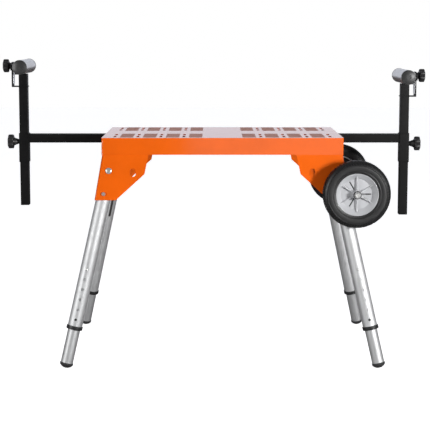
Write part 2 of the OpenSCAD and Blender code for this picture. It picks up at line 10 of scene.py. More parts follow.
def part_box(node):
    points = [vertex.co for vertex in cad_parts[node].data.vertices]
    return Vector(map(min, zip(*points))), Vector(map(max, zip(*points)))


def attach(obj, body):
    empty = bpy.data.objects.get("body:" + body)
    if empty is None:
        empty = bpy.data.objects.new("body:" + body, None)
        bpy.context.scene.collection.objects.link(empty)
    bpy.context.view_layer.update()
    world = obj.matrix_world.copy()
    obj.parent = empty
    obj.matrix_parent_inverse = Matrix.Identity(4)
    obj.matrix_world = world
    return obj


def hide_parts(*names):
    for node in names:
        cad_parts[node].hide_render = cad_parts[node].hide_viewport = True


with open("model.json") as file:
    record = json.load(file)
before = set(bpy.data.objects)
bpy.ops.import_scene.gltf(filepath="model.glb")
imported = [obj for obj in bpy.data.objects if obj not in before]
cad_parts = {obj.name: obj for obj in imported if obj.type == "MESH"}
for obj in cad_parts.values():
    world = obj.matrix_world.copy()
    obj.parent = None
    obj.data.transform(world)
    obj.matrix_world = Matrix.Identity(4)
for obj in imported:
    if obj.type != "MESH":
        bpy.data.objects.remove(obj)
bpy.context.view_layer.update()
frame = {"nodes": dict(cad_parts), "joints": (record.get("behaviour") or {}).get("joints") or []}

nodes = frame["nodes"]
joints = {j["name"]: j for j in frame["joints"]}
CORNERS = ("front_left", "front_right", "rear_left", "rear_right")
SIDES = ("left", "right")
ENDS = ("front", "rear")
rng = random.Random(7)
MM = 0.001
TAU = 2 * math.pi


# ---- Node helpers for materials ---------------------------------------------

class Mat:
    """A node material with a Principled shader, built up by small calls."""

    def __init__(self, name, color, rough, metal=0.0, **sockets):
        self.mat = bpy.data.materials.new(name)
        self.mat.use_nodes = True
        self.tree = self.mat.node_tree
        self.bsdf = self.tree.nodes["Principled BSDF"]
        self.bsdf.inputs["Base Color"].default_value = (*color, 1)
        self.bsdf.inputs["Roughness"].default_value = rough
        self.bsdf.inputs["Metallic"].default_value = metal
        for key, value in sockets.items():
            self.bsdf.inputs[key.replace("_", " ")].default_value = value
        self.coords = self.tree.nodes.new("ShaderNodeTexCoord").outputs["Object"]
        self.normal = None

    def node(self, kind, **settings):
        n = self.tree.nodes.new("ShaderNode" + kind)
        for key, value in settings.items():
            setattr(n, key, value)
        return n

    def link(self, a, b):
        self.tree.links.new(a, b)

    def noise(self, scale, detail=3.0, rough=0.55, stretch=(1, 1, 1)):
        m = self.node("Mapping")
        m.inputs["Scale"].default_value = stretch
        self.link(self.coords, m.inputs["Vector"])
        n = self.node("TexNoise")
        n.inputs["Scale"].default_value = scale
        n.inputs["Detail"].default_value = detail
        n.inputs["Roughness"].default_value = rough
        self.link(m.outputs["Vector"], n.inputs["Vector"])
        return n.outputs["Fac"]

    def ramp(self, fac, low, high, c0, c1):
        r = self.node("ValToRGB")
        r.color_ramp.elements[0].position = low
        r.color_ramp.elements[1].position = high
        r.color_ramp.elements[0].color = (*c0, 1)
        r.color_ramp.elements[1].color = (*c1, 1)
        self.link(fac, r.inputs["Fac"])
        return r.outputs["Color"]

    def span(self, fac, low, high, to_low, to_high):
        r = self.node("MapRange")
        for key, value in zip(("From Min", "From Max", "To Min", "To Max"), (low, high, to_low, to_high)):
            r.inputs[key].default_value = value
        self.link(fac, r.inputs["Value"])
        return r.outputs["Result"]

    def color(self, socket):
        self.link(socket, self.bsdf.inputs["Base Color"])

    def rough(self, socket):
        self.link(socket, self.bsdf.inputs["Roughness"])

    def bump(self, height, strength, distance=MM):
        b = self.node("Bump")
        b.inputs["Strength"].default_value = strength
        b.inputs["Distance"].default_value = distance
        self.link(height, b.inputs["Height"])
        if self.normal is not None:
            self.link(self.normal, b.inputs["Normal"])
        self.normal = b.outputs["Normal"]
        self.link(self.normal, self.bsdf.inputs["Normal"])

    def mix(self, fac, a, b):
        m = self.node("Mix", data_type="RGBA")
        if isinstance(fac, float):
            m.inputs["Factor"].default_value = fac
        else:
            self.link(fac, m.inputs["Factor"])
        for slot, value in ((6, a), (7, b)):
            if isinstance(value, tuple):
                m.inputs[slot].default_value = (*value, 1)
            else:
                self.link(value, m.inputs[slot])
        return m.outputs[2]


def painted(name, color, rough, peel, coat, gloss=0.6):
    """Powder coat: slightly uneven colour and gloss, and an orange-peel bump."""
    m = Mat(name, color, rough, Coat_Weight=coat, Coat_Roughness=0.1, Specular_IOR_Level=gloss)
    cloud = m.noise(9.0, 4.0)
    dark = tuple(c * 0.93 for c in color)
    light = tuple(min(c * 1.05, 1.0) for c in color)
    m.color(m.ramp(cloud, 0.3, 0.7, dark, light))
    m.rough(m.span(m.noise(34.0, 5.0), 0.3, 0.75, rough * 0.92, rough * 1.12))
    m.bump(m.noise(520.0, 2.0), peel, 0.15 * MM)
    return m.mat


def black_paint():
    """Satin black powder coat, with faint clouds and a fine grain."""
    m = Mat("black_powder_coat", (0.0055, 0.0055, 0.006), 0.46, Specular_IOR_Level=0.14)
    m.color(m.ramp(m.noise(16.0, 4.0), 0.3, 0.72, (0.003, 0.003, 0.0032), (0.0056, 0.0054, 0.0056)))
    m.rough(m.span(m.noise(60.0, 4.0), 0.3, 0.7, 0.4, 0.54))
    m.bump(m.noise(900.0, 2.0), 0.22, 0.12 * MM)
    return m.mat


def brushed(name, color, rough, stretch, metal=1.0, scale=260.0):
    """Drawn or brushed metal: fine lines along one direction, with soft blotches."""
    m = Mat(name, color, rough, metal)
    lines = m.noise(scale, 4.0, 0.7, stretch)
    cloud = m.noise(14.0, 3.0)
    dark = tuple(c * 0.9 for c in color)
    light = tuple(min(c * 1.06, 1.0) for c in color)
    base = m.ramp(lines, 0.32, 0.7, dark, light)
    shade = m.ramp(cloud, 0.35, 0.7, (0.93, 0.93, 0.93), (1.0, 1.0, 1.0))
    mul = m.node("Mix", data_type="RGBA", blend_type="MULTIPLY")
    mul.inputs["Factor"].default_value = 1.0
    m.link(base, mul.inputs[6])
    m.link(shade, mul.inputs[7])
    m.color(mul.outputs[2])
    m.rough(m.span(lines, 0.3, 0.7, rough * 0.85, rough * 1.2))
    m.bump(lines, 0.06, 0.06 * MM)
    return m.mat


def zinc_plate():
    """Bright zinc plating with its small crystal cells."""
    m = Mat("zinc_plate", (0.66, 0.66, 0.64), 0.34, 0.78)
    cells = m.node("TexVoronoi")
    cells.inputs["Scale"].default_value = 420.0
    m.link(m.coords, cells.inputs["Vector"])
    m.color(m.ramp(cells.outputs["Distance"], 0.0, 0.8, (0.6, 0.6, 0.59), (0.76, 0.76, 0.74)))
    m.rough(m.span(m.noise(90.0, 4.0), 0.3, 0.7, 0.28, 0.44))
    m.bump(m.noise(420.0, 3.0), 0.1, 0.1 * MM)
    return m.mat


def moulded(name, color, rough, grain, scale=1100.0):
    """Moulded plastic or rubber with a spark-eroded grain."""
    m = Mat(name, color, rough)
    dark = tuple(c * 0.85 for c in color)
    light = tuple(c * 1.2 for c in color)
    m.color(m.ramp(m.noise(22.0, 4.0), 0.3, 0.7, dark, light))
    m.rough(m.span(m.noise(75.0, 4.0), 0.3, 0.7, rough * 0.88, min(rough * 1.15, 1.0)))
    m.bump(m.noise(scale, 2.5), grain, 0.12 * MM)
    return m.mat


def grip_material():
    """Thin grit-filled pad: a fine emery texture, and a pale pink mixed in by a noise as painted sheen."""
    m = Mat("grip_pad_grit_and_sheen", (0.62, 0.17, 0.07), 0.72, Specular_IOR_Level=0.6)
    grit = m.node("TexVoronoi")
    grit.inputs["Scale"].default_value = 1300.0
    m.link(m.coords, grit.inputs["Vector"])
    # Painted sheen: a pale pink, mixed in by a noise at up to a third, lightens the grit colours.
    m.color(m.mix(m.span(m.noise(30.0, 5.0), 0.35, 0.7, 0.0, 0.35),
                  m.ramp(grit.outputs["Distance"], 0.05, 0.7, (0.86, 0.46, 0.38), (0.7, 0.27, 0.19)),
                  (0.82, 0.58, 0.5)))
    m.bump(grit.outputs["Distance"], 0.5, 0.3 * MM)
    return m.mat


def tyre_material():
    """Black rubber, a little uneven in colour and gloss."""
    m = Mat("tyre_rubber", (0.012, 0.012, 0.0125), 0.48, Specular_IOR_Level=0.5)
    m.color(m.ramp(m.noise(26.0, 5.0), 0.3, 0.72, (0.007, 0.007, 0.0075), (0.014, 0.0136, 0.0136)))
    m.rough(m.span(m.noise(110.0, 4.0), 0.3, 0.7, 0.36, 0.52))
    m.bump(m.noise(700.0, 3.0), 0.25, 0.15 * MM)
    return m.mat


def floor_material():
    """White floor to the camera, and a darker one to every other ray, so that it lights little."""
    m = Mat("studio_floor", (0.93, 0.93, 0.93), 0.6, Specular_IOR_Level=0.2)
    m.color(m.ramp(m.noise(1.5, 2.0), 0.3, 0.7, (0.925, 0.925, 0.925), (0.935, 0.935, 0.935)))
    m.bsdf.inputs["Emission Color"].default_value = (1, 1, 1, 1)
    m.bsdf.inputs["Emission Strength"].default_value = 0.8
    dim = m.node("BsdfDiffuse")
    dim.inputs["Color"].default_value = (0.3, 0.3, 0.3, 1)
    choice = m.node("MixShader")
    m.link(m.node("LightPath").outputs["Is Camera Ray"], choice.inputs["Fac"])
    m.link(dim.outputs[0], choice.inputs[1])
    m.link(m.bsdf.outputs[0], choice.inputs[2])
    m.link(choice.outputs[0], m.tree.nodes["Material Output"].inputs["Surface"])
    return m.mat


ORANGE = (0.8, 0.116, 0.0008)
M = {
    "deck": painted("orange_deck_paint", ORANGE, 0.4, 0.16, 0.9, 0.12),
    "bracket": painted("orange_bracket_paint", ORANGE, 0.42, 0.2, 0.3, 0.12),
    "black": black_paint(),
    "grip": grip_material(),
    "leg": brushed("leg_aluminium", (0.66, 0.665, 0.67), 0.58, (1, 1, 0.03), 0.85),
    "inner": brushed("inner_leg_aluminium", (0.62, 0.625, 0.63), 0.55, (1, 1, 0.03), 0.88, 330.0),
    "zinc": zinc_plate(),
    "roller": brushed("roller_steel", (0.66, 0.66, 0.67), 0.36, (1, 0.05, 1)),
    "stop": brushed("stop_steel", (0.7, 0.7, 0.7), 0.34, (1, 0.05, 1)),
    "collar": moulded("collar_plastic", (0.012, 0.012, 0.0125), 0.5, 0.3),
    "foot": moulded("foot_rubber", (0.026, 0.026, 0.027), 0.66, 0.5, 700.0),
    "knob": moulded("knob_plastic", (0.016, 0.0155, 0.016), 0.38, 0.25),
    "cap": moulded("cap_plastic", (0.026, 0.026, 0.026), 0.42, 0.2),
    "rim": painted("rim_silver_paint", (0.47, 0.475, 0.49), 0.34, 0.12, 0.2),
    "tyre": tyre_material(),
}


# ---- Mesh helpers ------------------------------------------------------------

def basis(origin, z, x_hint=(1, 0, 0)):
    """A matrix whose Z is the given direction and whose origin is the given point."""
    z = Vector(z).normalized()
    x = Vector(x_hint)
    x = (x - z * x.dot(z)).normalized()
    y = z.cross(x)
    m = Matrix((x, y, z)).transposed().to_4x4()
    m.translation = Vector(origin)
    return m


def ring_grid(bm, rings, closed=True):
    """Skins a list of equally long vertex rings."""
    for a, b in zip(rings, rings[1:]):
        n = len(a)
        for i in range(n if closed else n - 1):
            j = (i + 1) % n
            quad = [a[i], a[j], b[j], b[i]]
            bm.faces.new(quad)


def lathe(bm, profile, place=Matrix(), segments=96, cap=True):
    """Turns a profile of (radius, height) round Z. A radius of 0 closes the end to a point."""
    rings = []
    for r, z in profile:
        if r < 1e-7:
            rings.append([bm.verts.new(place @ Vector((0, 0, z)))])
        else:
            rings.append([bm.verts.new(place @ Vector((r * math.cos(TAU * i / segments),
                                                       r * math.sin(TAU * i / segments), z)))
                          for i in range(segments)])
    for a, b in zip(rings, rings[1:]):
        for i in range(segments):
            j = (i + 1) % segments
            if len(a) == 1 and len(b) == 1:
                continue
            if len(a) == 1:
                bm.faces.new([a[0], b[j], b[i]])
            elif len(b) == 1:
                bm.faces.new([a[i], a[j], b[0]])
            else:
                bm.faces.new([a[i], a[j], b[j], b[i]])
    if cap:
        if len(rings[0]) > 1:
            bm.faces.new(list(reversed(rings[0])))
        if len(rings[-1]) > 1:
            bm.faces.new(rings[-1])


def closed_lathe(bm, profile, place=Matrix(), segments=96):
    """Turns a closed profile loop, such as a ring's section."""
    lathe(bm, profile + [profile[0]], place, segments, cap=False)


def piece(name, build, body, material, replaces, angle):
    """Makes an object from a bmesh-filling function and ties it to the frame."""
    bm = bmesh.new()
    build(bm)
    bmesh.ops.remove_doubles(bm, verts=bm.verts, dist=1e-6)
    bmesh.ops.recalc_face_normals(bm, faces=bm.faces)
    me = bpy.data.meshes.new(name)
    bm.to_mesh(me)
    bm.free()
    me.materials.append(material)
    me.shade_smooth()
    ob = bpy.data.objects.new(name, me)
    bpy.context.scene.collection.objects.link(ob)
    me.set_sharp_from_angle(angle=math.radians(angle))
    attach(ob, body)
    if replaces:
        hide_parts(*replaces)


def arc(r, cx, cz, a0, a1, n):
    """Points (radius, height) on an arc about (cx, cz), angles in degrees."""
    return [(cx + r * math.cos(math.radians(a0 + (a1 - a0) * i / n)),
             cz + r * math.sin(math.radians(a0 + (a1 - a0) * i / n))) for i in range(n + 1)]


# ---- CAD nodes that are shown as they are -------------------------------------

def finish_cad(name, material, width):
    """Gives a CAD node its material, softened edges and even normals."""
    ob = nodes[name]
    weld = ob.modifiers.new("weld", "WELD")
    weld.merge_threshold = 0.02 * MM
    bev = ob.modifiers.new("edges", "BEVEL")
    bev.width, bev.segments, bev.limit_method = width, 2, "ANGLE"
    bev.angle_limit = math.radians(38)
    bev.harden_normals = True
    norm = ob.modifiers.new("normals", "WEIGHTED_NORMAL")
    norm.keep_sharp = False
    ob.data.materials.clear()
    ob.data.materials.append(material)


finish_cad("deck_panel", M["deck"], 0.9 * MM)
finish_cad("grip_pads", M["grip"], 0.25 * MM)
for n in ("guide_tube", "wheel_brackets"):
    finish_cad(n, M["black"], 0.7 * MM)
for n in ("axle", "axle_nuts", "pivot_bolts", "pivot_nuts"):
    finish_cad(n, M["zinc"], 0.5 * MM)
for c in CORNERS:
    finish_cad(f"bracket_{c}", M["bracket"], 0.8 * MM)
    finish_cad(f"lock_pin_{c}", M["zinc"], 0.4 * MM)
    finish_cad(f"snap_button_{c}", M["zinc"], 0.2 * MM)
    finish_cad(f"leg_tube_{c}", M["leg"], 0.3 * MM)
    finish_cad(f"leg_inner_{c}", M["inner"], 0.3 * MM)
for s in SIDES:
    finish_cad(f"extension_bar_{s}", M["black"], 1.2 * MM)
    finish_cad(f"post_{s}", M["black"], 1.4 * MM)
    finish_cad(f"roller_head_{s}", M["black"], 0.5 * MM)
    finish_cad(f"roller_axle_{s}", M["zinc"], 0.4 * MM)
    finish_cad(f"stop_plate_{s}", M["stop"], 0.4 * MM)


# ---- Star knobs ---------------------------------------------------------------

def star_knob(bm, place, d, hub_h, head_h, stud_l, washer=None):
    """Lobed knob: hub cone, scalloped head with rolled edges, dished cap, threaded stud."""
    lobes = 6
    seg = 144
    half = d / 2

    def ring(z, radius, lobe):
        out = []
        for i in range(seg):
            a = TAU * i / seg
            wave = 0.5 + 0.5 * math.cos(lobes * a)
            r = radius * (1 - lobe * (1 - wave ** 0.62))
            out.append(bm.verts.new(place @ Vector((r * math.cos(a), r * math.sin(a), z))))
        return out

    edge = 4.5 * MM
    top = hub_h + head_h
    # height, radius and depth of the scallops, from the seat up
    levels = [(0, d * 0.17, 0), (0.8 * MM, d * 0.185, 0), (hub_h * 0.55, d * 0.235, 0),
              (hub_h - 0.5 * MM, d * 0.3, 0), (hub_h, half - edge, 0.12)]
    for i in range(1, 6):
        a = math.radians(90 * i / 5)
        levels.append((hub_h + edge * (1 - math.cos(a)), half - edge + edge * math.sin(a),
                       0.12 + 0.1 * math.sin(a)))
    levels += [(top - edge, half, 0.22), (top - edge * 0.55, half - edge * 0.1, 0.22),
               (top - edge * 0.2, half - edge * 0.45, 0.2), (top, half - edge * 1.15, 0.15),
               (top, half * 0.56, 0), (top - 0.8 * MM, half * 0.53, 0), (top - 0.8 * MM, half * 0.47, 0),
               (top + 0.2 * MM, half * 0.44, 0), (top + 0.6 * MM, half * 0.2, 0)]
    rings = [ring(*lv) for lv in levels]
    ring_grid(bm, rings)
    bm.faces.new(list(reversed(rings[0])))
    bm.faces.new(rings[-1])
    pitch = 0.9 * MM
    root_r, crest_r = 3.55 * MM, 3.98 * MM
    thread = []
    z = -stud_l
    while z < -pitch:
        thread += [(root_r, z), (crest_r, z + pitch / 2)]
        z += pitch
    lathe(bm, [(0, -stud_l)] + thread + [(3.6 * MM, 0), (3.6 * MM, 1 * MM)], place, 32)
    if washer:
        at, t, r = washer
        bore, edge = 3.4 * MM, 0.5 * MM
        closed_lathe(bm, [(bore, at), (r - edge, at), (r, at + edge), (r, at + t - edge), (r - edge, at + t),
                          (bore, at + t)], place, 40)


GAP = 0.3 * MM
KNOB_HEAD = 22 * MM
SLEEVE_KNOB_D, SLEEVE_HUB, SLEEVE_STUD = 55 * MM, 18 * MM, 6.5 * MM
STOP_KNOB_D, STOP_HUB, STOP_STUD = 51 * MM, 12 * MM, 6.9 * MM
STOP_WASHER, STOP_WASHER_R = 3 * MM, 7 * MM
BAR_KNOB_D, BAR_HUB, BAR_HEAD, BAR_STUD = 40 * MM, 8 * MM, 16 * MM, 3.3 * MM


def knob_seat(j, node, out, depth):
    """Frame of a side knob: its seat lies one depth in from the outer end of the CAD knob."""
    lo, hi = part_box(node)
    face = (hi.x if out.x > 0 else lo.x) - out.x * depth
    return basis((face, j["pos_m"][1], j["pos_m"][2]), out, (0, 0, 1))


def stop_knob(bm, at):
    """Star knob of a work stop, with a washer at the inner end of its stud."""
    stud = STOP_STUD + STOP_WASHER
    star_knob(bm, at, STOP_KNOB_D, STOP_HUB, KNOB_HEAD - GAP, stud, (-stud, STOP_WASHER, STOP_WASHER_R))


for s in SIDES:
    j = joints[f"sleeve_knob_turn_{s}"]
    out = Vector(j["axis"])
    at = knob_seat(j, f"sleeve_knob_{s}", out, SLEEVE_HUB + KNOB_HEAD)
    piece(f"knob_sleeve_{s}", lambda bm: star_knob(bm, at, SLEEVE_KNOB_D, SLEEVE_HUB, KNOB_HEAD, SLEEVE_STUD),
          f"sleeve_screw_{s}", M["knob"], (f"sleeve_knob_{s}",), 50)
    at = knob_seat(joints[f"stop_knob_turn_{s}"], f"stop_knob_{s}", out, STOP_HUB + KNOB_HEAD - GAP)
    piece(f"knob_stop_{s}", lambda bm: stop_knob(bm, at), f"stop_screw_{s}", M["knob"],
          (f"stop_knob_{s}",), 50)
    x, y, _ = joints[f"bar_knob_turn_{s}"]["pos_m"]
    seat_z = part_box(f"bar_lock_knob_{s}")[0].z + BAR_HUB + BAR_HEAD
    at = basis((x, y, seat_z), (0, 0, -1))
    piece(f"knob_bar_{s}", lambda bm: star_knob(bm, at, BAR_KNOB_D, BAR_HUB, BAR_HEAD, BAR_STUD),
          f"bar_knob_{s}", M["knob"], (f"bar_lock_knob_{s}",), 50)


# ---- Legs: collars and feet ----------------------------------------------------

TUBE_L = 588 * MM
TUBE_R = 27 * MM
INNER_R = 23 * MM
COLLAR_LIP = 14 * MM
PLUG_L = 40 * MM
FOOT_BALL = 30 * MM
FOOT_R = 24.5 * MM


def collar(bm, at):
    """Collar on the upper tube's lower end: grooved lip outside, plug inside the tube."""
    r = TUBE_R + 3 * MM
    bore = INNER_R + 0.2 * MM
    plug_r = TUBE_R - 1.9 * MM
    loop = [(bore, -COLLAR_LIP), (r - 2.2 * MM, -COLLAR_LIP)]
    loop += arc(2.2 * MM, r - 2.2 * MM, -11.8 * MM, -90, 0, 5)
    loop += [(r, -8.2 * MM), (r - 0.7 * MM, -7.7 * MM), (r - 0.7 * MM, -6.9 * MM), (r, -6.4 * MM)]
    loop += arc(1.4 * MM, r - 1.4 * MM, -1.4 * MM, 0, 90, 4)
    loop += [(plug_r, 0), (plug_r, PLUG_L), (bore, PLUG_L)]
    closed_lathe(bm, loop, at, 96)


def rubber_foot(bm, at):
    """Domed foot with one groove, and the plug that holds it in the inner tube."""
    rise = math.asin(FOOT_R / FOOT_BALL)
    prof = [(0, -FOOT_BALL)]
    for i in range(1, 13):
        a = rise * i / 12
        prof.append((FOOT_BALL * math.sin(a), -FOOT_BALL * math.cos(a)))
    r = FOOT_R
    z = prof[-1][1] + 2 * MM
    top = -10 * MM
    plug_r, plug_top = INNER_R - 2.2 * MM, 20 * MM
    prof += [(r, z), (r - 0.7 * MM, z + 0.5 * MM), (r - 0.7 * MM, z + 1.5 * MM), (r, z + 2 * MM)]
    prof += [(r, top - 1 * MM), (r - 0.6 * MM, top - 0.2 * MM), (r - 1.2 * MM, top), (plug_r, top),
             (plug_r, plug_top), (0, plug_top)]
    lathe(bm, prof, at, 96, cap=False)


for c in CORNERS:
    pivot = Vector(joints[f"leg_fold_{c}"]["pos_m"])
    up = Vector(joints[f"leg_extend_{c}"]["axis"])
    at = basis(pivot - up * TUBE_L, up)
    piece(f"collar_{c}", lambda bm: collar(bm, at), f"leg_{c}", M["collar"],
          (f"leg_collar_{c}",), 40)
    # The foot's ball stands on the floor, at the lowest height of the CAD foot
    floor_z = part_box(f"foot_{c}")[0].z
    at = basis(pivot - up * (pivot.z - FOOT_BALL - floor_z) / up.z, up)
    piece(f"rubber_foot_{c}", lambda bm: rubber_foot(bm, at), f"lower_leg_{c}", M["foot"],
          (f"foot_{c}",), 40)


# ---- Rollers --------------------------------------------------------------------

ROLLER_R = 27.5 * MM
RIDGE_PITCH = 19.5 * MM
COVER_R = 28 * MM
COVER_T = 8 * MM


def roller_sleeve(bm, at, half):
    """Grooved roller with recessed ends, round the roller's axle."""
    r = ROLLER_R
    bore = 5.1 * MM
    end = [(bore, half), (9 * MM, half), (9.6 * MM, half - 1.5 * MM), (r - 3 * MM, half - 1.5 * MM),
           (r - 2.6 * MM, half), (r - 0.9 * MM, half), (r, half - 0.9 * MM)]
    prof = [(x, -z) for x, z in end]
    for k in range(-5, 6):
        z = k * RIDGE_PITCH
        prof += [(r, z - 0.9 * MM), (r - 0.45 * MM, z - 0.45 * MM), (r - 0.45 * MM, z + 0.45 * MM),
                 (r, z + 0.9 * MM)]
    closed_lathe(bm, prof + end[::-1], at, 128)


def roller_covers(bm, lo, hi, axis):
    """The domed cover at each end of a roller, from the box of the CAD covers."""
    r = COVER_R
    dome_r, dome_z, dome_h = r - 0.9 * MM, 3.3 * MM, 4.2 * MM
    boss_r, boss_z = 7 * MM, 6.9 * MM
    for sign, y in ((-1, lo.y), (1, hi.y)):
        at = basis((axis[0], y - sign * COVER_T, axis[2]), (0, sign, 0), (0, 0, 1))
        prof = [(5.5 * MM, 0), (r - 0.6 * MM, 0), (r, 0.6 * MM), (r, 1.6 * MM), (r - 1.3 * MM, 2.1 * MM),
                (r - 1.3 * MM, 2.8 * MM), (dome_r, dome_z)]
        for i in range(1, 9):
            a = i / 8
            prof.append((dome_r * (1 - a) + (boss_r + 0.5 * MM) * a,
                         dome_z + dome_h * math.sin(a * math.pi / 2)))
        prof += [(boss_r, boss_z), (0, boss_z)]
        lathe(bm, prof, at, 96)


for s in SIDES:
    axis = joints[f"roller_spin_{s}"]["pos_m"]
    lo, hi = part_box(f"roller_tube_{s}")
    half = (hi.y - lo.y) / 2
    at = basis(axis, (0, -1, 0), (0, 0, 1))
    piece(f"roller_{s}_sleeve", lambda bm: roller_sleeve(bm, at, half), f"roller_{s}",
          M["roller"], (f"roller_tube_{s}",), 30)
    lo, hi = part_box(f"roller_caps_{s}")
    piece(f"roller_covers_{s}", lambda bm: roller_covers(bm, lo, hi, axis), f"upright_{s}",
          M["cap"], (f"roller_caps_{s}",), 40)


# ---- Wheels ---------------------------------------------------------------------

RIM_R = 78 * MM
TYRE_HALF = 27 * MM
WHEEL_R = 125 * MM
SHOULDER = 22 * MM
LUG = 2.6 * MM
CROWN = TYRE_HALF - SHOULDER


def tyre_profile():
    """The carcass: tread floor, shoulders, ridged sidewalls and beads, as a closed loop."""
    half = [(WHEEL_R - LUG, z) for z in (0, CROWN / 2, CROWN)]
    for i in range(1, 9):
        a = math.radians(90 - 72 * i / 8)
        r = SHOULDER - LUG
        half.append((WHEEL_R - SHOULDER + r * math.sin(a), CROWN + r * math.cos(a)))
    sidewall = [(109.4, 25), (108.6, 26.7), (107.4, 27), (106.4, 26.6), (105.6, 25.6), (103, 26), (98, 26.2),
                (93, 25.9), (89, 25.2), (87.8, 25.9), (86.4, 26.4), (85, 25.9), (84, 24.7), (81.5, 24.3),
                (80, 23.6), (78.3, 23.4)]
    half += [(r * MM, z * MM) for r, z in sidewall]
    back = [(r, -z) for r, z in reversed(half)]
    return half + back[:-1]


def lug_block(bm, at, a0, a1, z0, z1, skew):
    """One tread block: a patch of the outer skin with walls down to the tread floor."""
    na, nz = 3, 5
    top, low = [], []
    for i in range(na + 1):
        row_t, row_l = [], []
        for k in range(nz + 1):
            z = z0 + (z1 - z0) * k / nz
            a = a0 + (a1 - a0) * i / na + skew * k / nz
            over = max(abs(z) - CROWN, 0.0)
            phi = over / SHOULDER
            for store, lift in ((row_t, 0.0), (row_l, -LUG - 0.5 * MM)):
                skin = SHOULDER + lift
                r = WHEEL_R - SHOULDER + skin * math.cos(phi)
                side_z = math.copysign(CROWN + skin * math.sin(phi), z) if over > 0 else z
                store.append(bm.verts.new(at @ Vector((r * math.cos(a), r * math.sin(a), side_z))))
        top.append(row_t)
        low.append(row_l)
    for i in range(na):
        for k in range(nz):
            bm.faces.new([top[i][k], top[i + 1][k], top[i + 1][k + 1], top[i][k + 1]])
            bm.faces.new([low[i][k], low[i][k + 1], low[i + 1][k + 1], low[i + 1][k]])
    for i in range(na):
        for k in (0, nz):
            bm.faces.new([top[i][k], top[i + 1][k], low[i + 1][k], low[i][k]])
    for k in range(nz):
        for i in (0, na):
            bm.faces.new([top[i][k], top[i][k + 1], low[i][k + 1], low[i][k]])


def tyre_mesh(bm, at):
    """The carcass with shoulder lugs all round, and every second step an inner and a middle block."""
    closed_lathe(bm, tyre_profile(), at, 144)
    count = 72
    step = TAU / count
    for i in range(count):
        a = i * step
        for side in (-1, 1):
            b = a if side > 0 else a + step / 2
            lug_block(bm, at, b, b + step * 0.62, side * 17 * MM, side * 31 * MM, 0.0)
            if i % 2 == 0:
                lug_block(bm, at, b, b + step * 1.45, side * 5.2 * MM, side * 15 * MM, step * 0.45)
        if i % 2 == 0:
            lug_block(bm, at, a + step * 0.3, a + step * 1.7, -3.4 * MM, 3.4 * MM, step * 0.25)


WEB_R = 57 * MM
WEB_T = 3 * MM
HUB_R = 17 * MM
HUB_END = 26.6 * MM
BORE_R = 8.2 * MM


def web(bm, at):
    """The flat web with three narrow radial slots cut through it."""
    segments = 216
    radii = [HUB_R, HUB_R + 2 * MM, 28 * MM, 38 * MM, WEB_R - 4 * MM, WEB_R]
    slot_half = 2.25 * MM
    for z in (0.0, -WEB_T):
        grid = []
        for r in radii:
            row = []
            for i in range(segments):
                a = TAU * i / segments
                near = round(a / (TAU / 3)) * TAU / 3
                k = i - round(near / TAU * segments)
                if abs(k) <= 1:
                    a = near + k * math.asin(slot_half / r)
                row.append(bm.verts.new(at @ Vector((r * math.cos(a), r * math.sin(a), z))))
            grid.append(row)
        for n in range(len(radii) - 1):
            for i in range(segments):
                k = (i + 1) % (segments // 3)
                if 1 <= n <= 3 and k in (0, 1):
                    continue
                j = (i + 1) % segments
                bm.faces.new([grid[n][i], grid[n][j], grid[n + 1][j], grid[n + 1][i]])
        if z == 0.0:
            front = grid
    for third in range(3):
        c = third * segments // 3
        for n in range(1, 4):
            for i in (c - 1, c + 1):
                bm.faces.new([front[n][i], front[n + 1][i], grid[n + 1][i], grid[n][i]])
        for n in (1, 4):
            for i in (c - 1, c):
                j = (i + 1) % segments
                bm.faces.new([front[n][i], front[n][j], grid[n][j], grid[n][i]])


def rim_mesh(bm, at):
    """Dished wheel: rolled lip, conical barrel, slotted web, six ribs and a hub."""
    lip, edge, roll = 23.6 * MM, RIM_R, 1.5 * MM
    barrel = [(edge - 3.2 * MM, lip - 2.6 * MM), (edge - 4.6 * MM, lip - 3.6 * MM), (WEB_R + 2 * MM, 2 * MM),
              (WEB_R, 0)]
    loop = [(edge, -lip + 1 * MM), (edge, lip - 1 * MM)]
    loop += arc(roll, edge - roll, lip - 1.2 * MM, 0, 180, 8)
    loop += barrel + [(WEB_R, -WEB_T), (WEB_R + 2 * MM, -WEB_T - 2 * MM)]
    loop += [(r, -z) for r, z in barrel[1::-1]]
    loop += arc(roll, edge - roll, -lip + 1.2 * MM, 180, 360, 8)
    closed_lathe(bm, loop, at, 144)
    web(bm, at)
    crest = [(HUB_R - 0.6 * MM, HUB_END - 1 * MM), (HUB_R - 1.4 * MM, HUB_END), (BORE_R, HUB_END)]
    hub = [(HUB_R + 1.6 * MM, -0.2 * MM), (HUB_R + 0.5 * MM, 1.2 * MM), (HUB_R, WEB_T)] + crest
    hub += [(r, -z) for r, z in crest[::-1]]
    hub += [(HUB_R, -2 * WEB_T), (HUB_R + 0.5 * MM, -4.2 * MM), (HUB_R + 1.6 * MM, -2.8 * MM)]
    closed_lathe(bm, hub, at, 96)
    for i in range(6):
        wide = 1.5 if i in (1, 4) else 1.0
        rib(bm, at @ Matrix.Rotation(math.radians(30 + i * 60), 4, "Z"), wide)


def rib(bm, turn, wide):
    """A tapered rib with a rounded crest, from the hub across the web and up the barrel."""
    w = 1.7 * MM * wide
    rows = []
    for x, foot_z, h in ((16, -0.4, 13), (24, -0.4, 11.5), (40, -0.4, 10), (56, -0.4, 9.4), (66, 9, 11.5),
                         (71, 14.5, 16.5)):
        rise = h - foot_z
        side = [(1.9, foot_z), (1.2, foot_z + rise * 0.25), (0.9, foot_z + rise * 0.85), (0.5, h * 0.985)]
        row = [(-w * y, z) for y, z in side] + [(0, h)] + [(w * y, z) for y, z in side[::-1]]
        rows.append([bm.verts.new(turn @ Vector((x * MM, y, z * MM))) for y, z in row])
    ring_grid(bm, rows)
    bm.faces.new(list(reversed(rows[0])))
    bm.faces.new(rows[-1])


